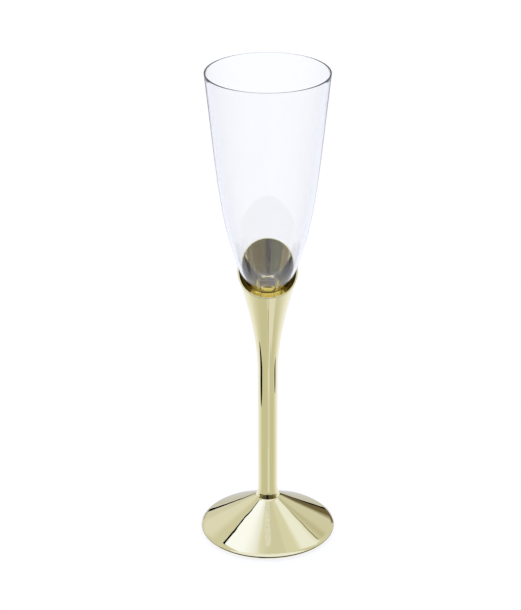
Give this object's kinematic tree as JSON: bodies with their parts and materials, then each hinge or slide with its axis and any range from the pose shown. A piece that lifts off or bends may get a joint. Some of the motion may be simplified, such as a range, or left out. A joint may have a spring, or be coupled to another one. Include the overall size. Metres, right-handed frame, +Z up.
{
  "type": "champagne flute",
  "caption": "Tall take-apart champagne flute: clear tapered bowl, slender gold trumpet stem with a slanted lip, and a shallow conical gold foot.",
  "frame": {"origin": "centre of the foot's resting ring, on the surface that the flute stands on", "axes": "+Z up along the stem, -Y towards the low front of the stem's slanted lip"},
  "size_m": [0.0634, 0.0634, 0.229],
  "materials": {
    "bowl_clear": "crystal-clear moulded plastic, glossy",
    "stem_gold": "pale gold metallised plastic, mirror bright",
    "foot_gold": "pale gold metallised plastic, mirror bright"
  },
  "bodies": {
    "foot": {"foot": "foot_gold"},
    "stem": {"stem": "stem_gold"},
    "bowl": {"bowl": "bowl_clear"}
  },
  "joints": [
    {"name": "stem_lift", "type": "slide", "parent": "foot", "child": "stem", "axis": [0, 0, 1], "range_m": [0, 0.02]},
    {"name": "bowl_lift", "type": "slide", "parent": "stem", "child": "bowl", "axis": [0, 0, 1], "range_m": [0, 0.03]}
  ]
}
